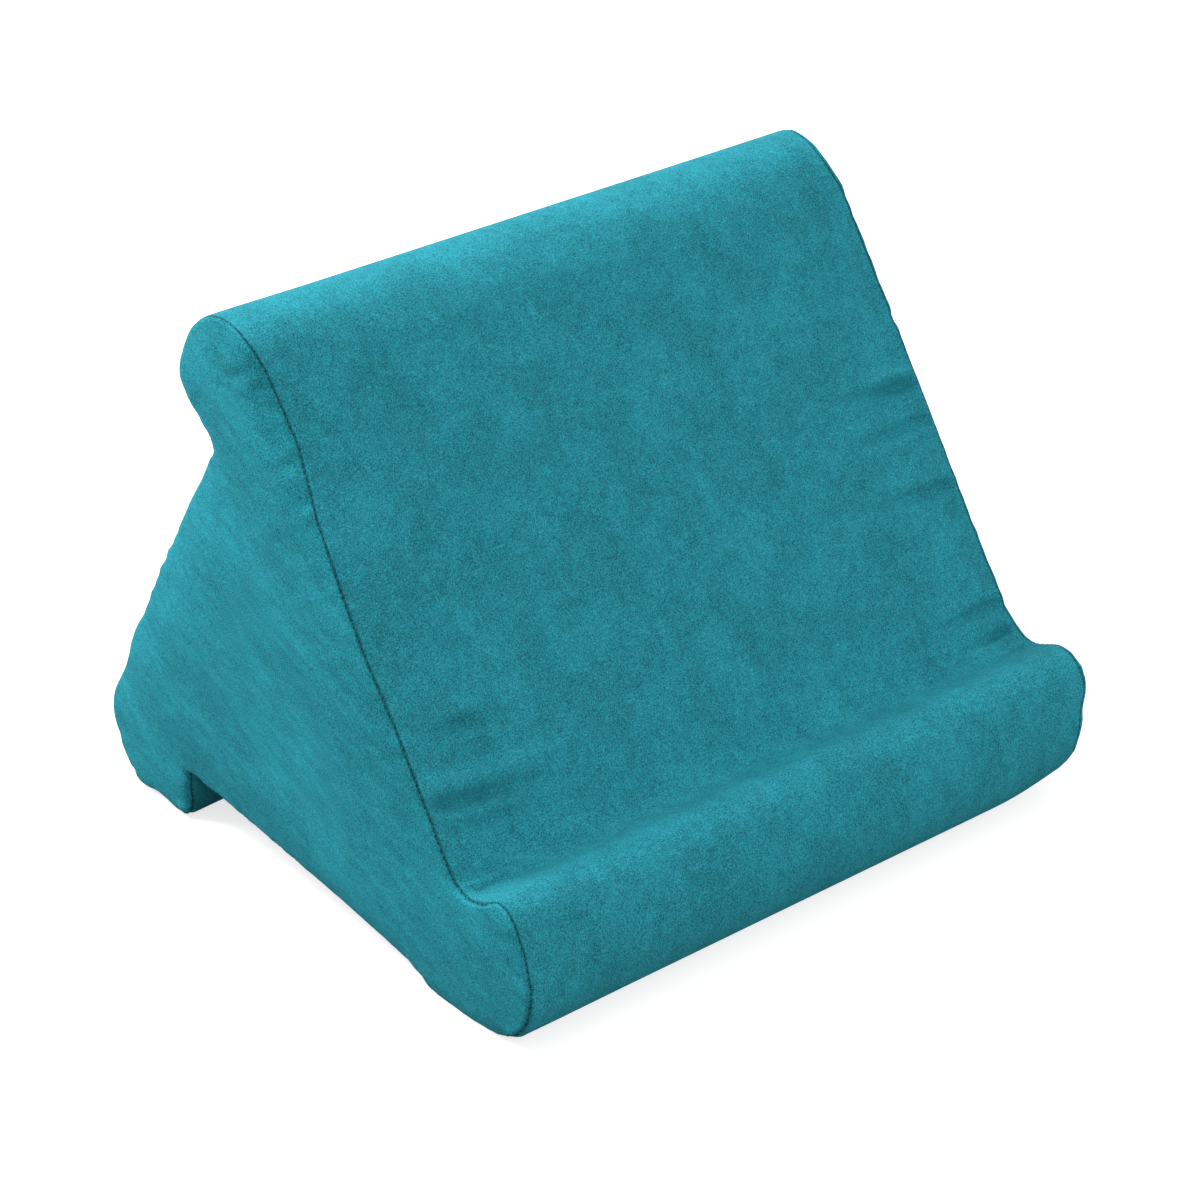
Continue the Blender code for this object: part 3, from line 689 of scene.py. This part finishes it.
def split_cover(form, surface, wrap_nap, end_nap):
    """Cuts the cover into its wrap and two ends, each with a hem turned in at its border."""
    set_positions(form.data, surface.places)
    # Painted shade: 1 on the seams, falling off within a fraction of a millimetre, so the nap darkens where the
    # sunk seams lie in shade
    painted_shade = np.exp(-(surface.from_seam / SEAM_SHADE_WIDTH) ** 2)
    form.data.attributes.new("painted_seam_shade", "FLOAT", "POINT").data.foreach_set("value", painted_shade)
    pieces = {}
    for name, mark in (("cover_wrap_fabric", WRAP), ("cover_end_fabric_left", LEFT_END),
                       ("cover_end_fabric_right", RIGHT_END)):
        shape = bmesh.new()
        shape.from_mesh(form.data)
        layer = shape.faces.layers.int["mark"]
        others = [face for face in shape.faces if face[layer] != mark]
        bmesh.ops.delete(shape, geom=others, context="FACES")
        turn_in_hem(shape)
        nap = wrap_nap if mark == WRAP else end_nap
        pieces[name] = add_object(name, mesh_of(shape, name), nap, smooth=True)
    bpy.data.objects.remove(form)
    return pieces


def turn_in_hem(shape):
    """Turns a hem in at a piece's border. At the end seams the border first shifts outward."""
    shape.normal_update()
    border = [edge for edge in shape.edges if edge.is_boundary]
    inward = {}
    for vert in dict.fromkeys(vert for edge in border for vert in edge.verts):
        normal = Vector((0.0, vert.normal.y, vert.normal.z)).normalized()
        at_seam = abs(vert.co.x) > SLOT_BORDER_END
        inward[vert] = -normal * (HEM if at_seam else SLOT_HEM)
        if at_seam:
            vert.co.x += math.copysign(SEAM_SHIFT, vert.co.x)
    grown = bmesh.ops.extrude_edge_only(shape, edges=border)["geom"]
    tree = KDTree(len(inward))
    keys = list(inward)
    for index, vert in enumerate(keys):
        tree.insert(vert.co, index)
    tree.balance()
    for item in grown:
        if isinstance(item, bmesh.types.BMVert):
            item.co += inward[keys[tree.find(item.co)[1]]]
    bmesh.ops.recalc_face_normals(shape, faces=shape.faces)


# Stitches

STITCH_SPACING, STITCH_LENGTH, STITCH_RADIUS = 2.6 * MM, 1.9 * MM, 0.19 * MM
STITCH_SLANT = math.radians(52)
STITCH_LIFT, STITCH_ARCH = 0.02 * MM, 1.4 * MM
STITCH_SIDES = 6
STITCH_PROFILE = (  # shares of the length along a stitch, and of its radius there
    (-0.5, 0.0), (-0.44, 0.62), (-0.3, 0.95), (0.0, 1.0), (0.3, 0.95), (0.44, 0.62), (0.5, 0.0),
)
LOOK_AHEAD = 0.5 * MM


def make_stitches(name, end, border, thread):
    """Slanted stitches across one seam, sunk about half their thickness into the cover."""
    closed = np.vstack([border, border[:1]])
    travelled = np.concatenate([[0.0], np.cumsum(np.linalg.norm(np.diff(closed, axis=0), axis=1))])
    around = travelled[-1]

    def seam_at(distance):
        return np.array([np.interp(distance, travelled, closed[:, axis]) for axis in range(3)])

    count = int(around / STITCH_SPACING)
    angles = np.arange(STITCH_SIDES) * math.tau / STITCH_SIDES
    shape = bmesh.new()
    for number in range(count):
        at = around * (number + 0.5) / count
        place = seam_at(at)
        tangent = Vector(seam_at((at + LOOK_AHEAD) % around) - place).normalized()
        outward = Vector((0.0, tangent.z, -tangent.y))
        along = Vector((math.cos(STITCH_SLANT), 0.0, 0.0)) + tangent * math.sin(STITCH_SLANT) * end
        side = outward.cross(along)
        centre = Vector(place) + outward * STITCH_LIFT
        rings = []
        for share, width in STITCH_PROFILE:
            middle = centre + along * share * STITCH_LENGTH - outward * share * share * STITCH_ARCH
            if width == 0.0:
                rings.append([shape.verts.new(middle)])
                continue
            spokes = [outward * math.cos(angle) + side * math.sin(angle) for angle in angles]
            rings.append([shape.verts.new(middle + spoke * STITCH_RADIUS * width) for spoke in spokes])
        for low, high in zip(rings, rings[1:]):
            for index in range(STITCH_SIDES):
                after = (index + 1) % STITCH_SIDES
                if len(low) == 1:
                    shape.faces.new((low[0], high[index], high[after]))
                elif len(high) == 1:
                    shape.faces.new((low[after], low[index], high[0]))
                else:
                    shape.faces.new((low[after], low[index], high[index], high[after]))
    bmesh.ops.recalc_face_normals(shape, faces=shape.faces)
    return add_object(name, mesh_of(shape, name), thread, smooth=True)


def seam_line(surface, end):
    """Points of the sunk seam in order along the outline."""
    on_seam = np.flatnonzero((surface.end == end) & surface.on_seam)
    order = on_seam[np.argsort(surface.along[on_seam])]
    return surface.places[order]


# Materials

class Paint:
    """A Principled material and short ways to add nodes to it."""

    def __init__(self, name, colour, roughness, **sockets):
        self.material = bpy.data.materials.new(name)
        self.material.use_nodes = True
        self.nodes = self.material.node_tree.nodes
        self.links = self.material.node_tree.links
        self.shader = self.nodes["Principled BSDF"]
        self.shader.inputs["Base Color"].default_value = (*colour, 1.0)
        self.shader.inputs["Roughness"].default_value = roughness
        for socket, value in sockets.items():
            self.shader.inputs[socket.replace("_", " ")].default_value = value

    def place(self, stretch=(1.0, 1.0, 1.0), turn=(0.0, 0.0, 0.0)):
        """Place in the object, stretched along turned axes."""
        coordinates = self.nodes.new("ShaderNodeTexCoord")
        mapping = self.nodes.new("ShaderNodeMapping")
        mapping.vector_type = "TEXTURE"
        mapping.inputs["Rotation"].default_value = [math.radians(angle) for angle in turn]
        mapping.inputs["Scale"].default_value = stretch
        self.links.new(coordinates.outputs["Object"], mapping.inputs["Vector"])
        return mapping.outputs["Vector"]

    def noise(self, place, scale, detail=2.0, roughness=0.5, distortion=0.0):
        texture = self.nodes.new("ShaderNodeTexNoise")
        texture.inputs["Scale"].default_value = scale
        texture.inputs["Detail"].default_value = detail
        texture.inputs["Roughness"].default_value = roughness
        texture.inputs["Distortion"].default_value = distortion
        self.links.new(place, texture.inputs["Vector"])
        return texture.outputs["Fac"]

    def spread(self, value, low, high, to_low=0.0, to_high=1.0):
        ranged = self.nodes.new("ShaderNodeMapRange")
        ranged.inputs["From Min"].default_value = low
        ranged.inputs["From Max"].default_value = high
        ranged.inputs["To Min"].default_value = to_low
        ranged.inputs["To Max"].default_value = to_high
        self.links.new(value, ranged.inputs["Value"])
        return ranged.outputs["Result"]

    def sum(self, first, second, kind="ADD"):
        """Joins two values, or a value and a number, by the given kind of sum."""
        maths = self.nodes.new("ShaderNodeMath")
        maths.operation = kind
        for socket, value in zip(maths.inputs, (first, second)):
            if isinstance(value, float):
                socket.default_value = value
            else:
                self.links.new(value, socket)
        return maths.outputs["Value"]

    def colour(self, value, stops):
        ramp = self.nodes.new("ShaderNodeValToRGB")
        elements = ramp.color_ramp.elements
        while len(elements) < len(stops):
            elements.new(0.5)
        for element, (at, colour) in zip(elements, stops):
            element.position = at
            element.color = (*colour, 1.0)
        self.links.new(value, ramp.inputs["Fac"])
        self.links.new(ramp.outputs["Color"], self.shader.inputs["Base Color"])

    def bump(self, height, distance, strength=1.0, below=None):
        bump = self.nodes.new("ShaderNodeBump")
        bump.inputs["Distance"].default_value = distance
        bump.inputs["Strength"].default_value = strength
        self.links.new(height, bump.inputs["Height"])
        if below is not None:
            self.links.new(below, bump.inputs["Normal"])
        self.links.new(bump.outputs["Normal"], self.shader.inputs["Normal"])
        return bump.outputs["Normal"]


FABRIC_COLOUR = np.array([0.0200, 0.246, 0.308])
SHEEN_TINT = (0.10, 0.82, 1.0, 1.0)

# Nap: how much each of its layers weighs in the tone, the range of their sum, and the fabric's shades along it
# The seam's weight is painted shade: it darkens the nap along the seams' grooves
CLOUDS_WEIGHT, STREAKS_WEIGHT, GRAIN_WEIGHT, SEAM_SHADE_WEIGHT = 0.26, 0.30, 1.15, -1.7
TONE_RANGE = (-2.4, 1.6)
TONES = ((0.0, 0.16), (0.35, 0.58), (0.6, 1.0), (1.0, 1.8))


def shade(factor, tint=(1.0, 1.0, 1.0)):
    return tuple(float(value) for value in FABRIC_COLOUR * tint * factor)


def make_fabric(name, tint, turn, stretch, brushing):
    """Short dense nap: patches and streaks where it lies another way, a fine grain, and painted shade along the
    seams.
    """
    paint = Paint(name, shade(1.0, tint), 0.92, Specular_IOR_Level=0.1, Sheen_Weight=0.24, Sheen_Roughness=0.35,
                  Sheen_Tint=SHEEN_TINT)
    place = paint.place()
    brushed = paint.place(stretch, turn)
    clouds = paint.spread(paint.noise(brushed, 40.0, 5.0, 0.6, 0.5), 0.32, 0.68, -1.0, 1.0)
    streaks = paint.spread(paint.noise(brushed, 210.0, 4.0, 0.7, 0.3), 0.30, 0.70, -1.0, 1.0)
    grain = paint.spread(paint.noise(place, 1900.0, 2.0, 0.75), 0.36, 0.64, -1.0, 1.0)
    mixed = paint.sum(paint.sum(clouds, CLOUDS_WEIGHT * brushing, "MULTIPLY"),
                      paint.sum(streaks, STREAKS_WEIGHT * brushing, "MULTIPLY"))
    mixed = paint.sum(mixed, paint.sum(grain, GRAIN_WEIGHT, "MULTIPLY"))
    # Painted shade along the seams, read from the cover's point attribute
    seam = paint.nodes.new("ShaderNodeAttribute")
    seam.attribute_name = "painted_seam_shade"
    mixed = paint.sum(mixed, paint.sum(seam.outputs["Fac"], SEAM_SHADE_WEIGHT, "MULTIPLY"))
    tone = paint.spread(mixed, *TONE_RANGE)
    paint.colour(tone, [(at, shade(factor, tint)) for at, factor in TONES])
    soft = paint.bump(streaks, 0.22 * MM, 0.6)
    paint.bump(grain, 0.14 * MM, 0.9, soft)
    return paint.material


def make_thread():
    paint = Paint("thread", shade(0.16), 0.8, Specular_IOR_Level=0.1)
    twist = paint.noise(paint.place(), 4200.0, 1.0)
    paint.colour(twist, [(0.3, shade(0.08)), (0.7, shade(0.26))])
    paint.bump(twist, 0.05 * MM, 0.6)
    return paint.material


def make_foam_material():
    paint = Paint("foam_cells", (0.72, 0.68, 0.58), 0.95, Specular_IOR_Level=0.2)
    cells = paint.noise(paint.place(), 900.0, 3.0, 0.7)
    paint.colour(cells, [(0.3, (0.45, 0.42, 0.35)), (0.6, (0.76, 0.72, 0.62))])
    paint.bump(cells, 0.4 * MM)
    return paint.material


def make_tape_material():
    """Woven tape of the zip; its moulded teeth have the same colour."""
    paint = Paint("zip_tape_weave", (0.014, 0.17, 0.21), 0.8, Specular_IOR_Level=0.25)
    place = paint.place()
    weave = paint.nodes.new("ShaderNodeTexWave")
    weave.inputs["Scale"].default_value = 320.0
    weave.bands_direction = "X"
    paint.links.new(place, weave.inputs["Vector"])
    fuzz = paint.noise(place, 2500.0, 2.0)
    mixed = paint.sum(weave.outputs["Fac"], fuzz, "MULTIPLY")
    paint.colour(mixed, [(0.1, (0.010, 0.12, 0.15)), (0.7, (0.020, 0.22, 0.27))])
    paint.bump(mixed, 0.12 * MM)
    return paint.material


def make_metal():
    paint = Paint("zip_metal_cast", (0.52, 0.53, 0.54), 0.33, Metallic=1.0)
    wear = paint.noise(paint.place(), 260.0, 4.0)
    paint.colour(wear, [(0.3, (0.40, 0.41, 0.42)), (0.7, (0.62, 0.63, 0.64))])
    rough = paint.spread(paint.noise(paint.place(), 600.0, 3.0), 0.3, 0.7, 0.25, 0.42)
    paint.links.new(rough, paint.shader.inputs["Roughness"])
    paint.bump(wear, 0.03 * MM)
    return paint.material


# Foam

FOAM_ROUNDING_SHARE = 0.5


def make_foam(foam_cells):
    """Cut block of foam inside the cover."""
    pocket = np.where(from_zip() < ZIP_POCKET_HALF_WIDTH, ZIP_POCKET_DEPTH, 0.0)
    flat = PLACES - OUTWARDS * (np.minimum(FOAM_INSET, ROOMS) + pocket)[:, None]
    rounding = np.minimum(END_ROUNDING, FOAM_ROUNDING_SHARE * ROOMS)
    shape = bmesh.new()
    loops = []
    for x, share in FOAM_STATIONS:
        ring = flat - OUTWARDS * (share * rounding)[:, None]
        loops.append([shape.verts.new((x * MM, place[0], place[1])) for place in ring])
    around = len(flat)
    for low, high in zip(loops, loops[1:]):
        for index in range(around):
            after = (index + 1) % around
            shape.faces.new((low[index], low[after], high[after], high[index]))
    for rim, side in ((loops[0], -1), (loops[-1], 1)):
        inner, triangles = fill_panel(np.array([tuple(vert.co) for vert in rim]))
        verts = rim + [shape.verts.new((rim[0].co.x, place[0], place[1])) for place in inner]
        for triangle in triangles:
            shape.faces.new([verts[index] for index in (triangle if side > 0 else reversed(triangle))])
    mesh = mesh_of(shape, "foam_block")
    set_positions(mesh, positions(mesh) + end_ease(positions(mesh)))
    mesh.polygons.foreach_set("use_smooth", [len(face.vertices) == 4 for face in mesh.polygons])
    return add_object("foam_block", mesh, foam_cells)


# Light, floor and camera

FLOOR_HALF_SIZE = 6.0
FLOOR_DROP = 0.6 * MM
FLOOR_REFLECTS = 0.16  # grey that lights the cushion
FLOOR_GLOW, FLOOR_SHOWS = 0.72, 0.46  # glow and grey that are seen, which together keep the shadow
WORLD_LIGHT, WORLD_SHOWS = 0.85, 1.0
WHITE = (1.0, 1.0, 1.0, 1.0)

# Lamps: name, place, size and power
LAMPS = (("key", (-0.58, 1.00, 1.22), 0.8, 40.0), ("fill", (0.3, -1.45, 0.8), 1.2, 9.0))
LAMP_AIM = (0.0, 0.0, 0.1)

CAMERA_PLACE = (-0.78258, -0.92514, 0.73815)
CAMERA_AZIMUTH, CAMERA_ELEVATION = math.radians(40.203), math.radians(28.646)
CLIP_START = 0.01
SENSOR_WIDTH = 36.0
PHOTO_FOCAL, PHOTO_WIDTH = 3755.0, 1200.0  # in pixels


def grey(value):
    return (value, value, value, 1.0)


def direct_ray(nodes, links):
    """1 for camera, glossy and transmission rays, and 0 for all others."""
    path = nodes.new("ShaderNodeLightPath")
    direct = path.outputs["Is Camera Ray"]
    for kind in ("Is Glossy Ray", "Is Transmission Ray"):
        either = nodes.new("ShaderNodeMath")
        either.operation = "MAXIMUM"
        links.new(direct, either.inputs[0])
        links.new(path.outputs[kind], either.inputs[1])
        direct = either.outputs["Value"]
    return direct


def make_floor():
    mesh = bpy.data.meshes.new("floor")
    size = FLOOR_HALF_SIZE
    corners = [(-size, -size, 0.0), (size, -size, 0.0), (size, size, 0.0), (-size, size, 0.0)]
    mesh.from_pydata(corners, [], [(0, 1, 2, 3)])
    material = bpy.data.materials.new("pale_floor")
    material.use_nodes = True
    nodes, links = material.node_tree.nodes, material.node_tree.links
    nodes.clear()
    output = nodes.new("ShaderNodeOutputMaterial")
    mixed = nodes.new("ShaderNodeMixShader")
    pale = nodes.new("ShaderNodeBsdfDiffuse")
    pale.inputs["Color"].default_value = grey(FLOOR_REFLECTS)
    shown = nodes.new("ShaderNodeAddShader")
    glow = nodes.new("ShaderNodeEmission")
    glow.inputs["Strength"].default_value = FLOOR_GLOW
    shadowed = nodes.new("ShaderNodeBsdfDiffuse")
    shadowed.inputs["Color"].default_value = grey(FLOOR_SHOWS)
    links.new(direct_ray(nodes, links), mixed.inputs["Fac"])
    links.new(glow.outputs["Emission"], shown.inputs[0])
    links.new(shadowed.outputs["BSDF"], shown.inputs[1])
    links.new(pale.outputs["BSDF"], mixed.inputs[1])
    links.new(shown.outputs["Shader"], mixed.inputs[2])
    links.new(mixed.outputs["Shader"], output.inputs["Surface"])
    floor = add_object("floor", mesh, material)
    floor.location.z = -FLOOR_DROP


def make_world():
    world = bpy.data.worlds.new("studio")
    bpy.context.scene.world = world
    world.use_nodes = True
    nodes, links = world.node_tree.nodes, world.node_tree.links
    nodes.clear()
    output = nodes.new("ShaderNodeOutputWorld")
    mixed = nodes.new("ShaderNodeMixShader")
    for socket, strength in ((1, WORLD_LIGHT), (2, WORLD_SHOWS)):
        background = nodes.new("ShaderNodeBackground")
        background.inputs["Color"].default_value = WHITE
        background.inputs["Strength"].default_value = strength
        links.new(background.outputs["Background"], mixed.inputs[socket])
    links.new(direct_ray(nodes, links), mixed.inputs["Fac"])
    links.new(mixed.outputs["Shader"], output.inputs["Surface"])


def add_lamp(name, place, size, power):
    light = bpy.data.lights.new(name, "AREA")
    light.size = size
    light.energy = power
    lamp = bpy.data.objects.new(name, light)
    lamp.location = place
    lamp.rotation_euler = (Vector(LAMP_AIM) - Vector(place)).to_track_quat("-Z", "Y").to_euler()
    bpy.context.scene.collection.objects.link(lamp)


def add_camera():
    level = math.cos(CAMERA_ELEVATION)
    forward = Vector((math.sin(CAMERA_AZIMUTH) * level, math.cos(CAMERA_AZIMUTH) * level,
                      -math.sin(CAMERA_ELEVATION)))
    camera = bpy.data.cameras.new("camera")
    camera.sensor_width = SENSOR_WIDTH
    camera.lens = PHOTO_FOCAL / PHOTO_WIDTH * SENSOR_WIDTH
    camera.clip_start = CLIP_START
    view = bpy.data.objects.new("camera", camera)
    view.location = CAMERA_PLACE
    view.rotation_euler = forward.to_track_quat("-Z", "Y").to_euler()
    bpy.context.scene.collection.objects.link(view)
    bpy.context.scene.camera = view


def dress_node(name, material):
    """Gives a node of the CAD model its material and leaves the rest of it as it is."""
    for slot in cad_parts[name].material_slots:
        slot.material = material


def main():
    bpy.context.scene.view_settings.view_transform = "Standard"
    wrap_nap = make_fabric("wrap_nap", (1.0, 1.0, 1.0), (-56, 0, 25), (0.9, 1.7, 1.0), 1.15)
    end_nap = make_fabric("end_nap", (0.84, 0.99, 0.99), (21, 0, 0), (1.0, 2.6, 0.85), 1.5)
    thread = make_thread()
    form = make_cover_form()
    swell(form)
    even_panels(form)
    subdivide(form)
    surface = Surface(form.data)
    crease(surface)
    pucker(surface)
    stray(surface)
    fill_out(surface)
    surface.places += end_ease(surface.places)
    seams = {end: seam_line(surface, end) for end in (-1, 1)}
    pieces = split_cover(form, surface, wrap_nap, end_nap)
    for name, node in (("cover_wrap_fabric", "cover_wrap"), ("cover_end_fabric_left", "cover_end_left"),
                       ("cover_end_fabric_right", "cover_end_right")):
        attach(pieces[name], "cushion")
        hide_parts(node)
    foam = make_foam(make_foam_material())
    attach(foam, "cushion")
    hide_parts("foam_core")
    for name, end in (("stitches_left", -1), ("stitches_right", 1)):
        stitches = make_stitches(name, end, seams[end], thread)
        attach(stitches, "cushion")
    tape, metal = make_tape_material(), make_metal()
    for name in ("zip_half_front", "zip_half_rear"):
        dress_node(name, tape)
    for name in ("zip_slider", "zip_pull", "zip_top_stop_front", "zip_top_stop_rear", "zip_bottom_stop"):
        dress_node(name, metal)
    make_floor()
    make_world()
    for lamp in LAMPS:
        add_lamp(*lamp)
    add_camera()


main()
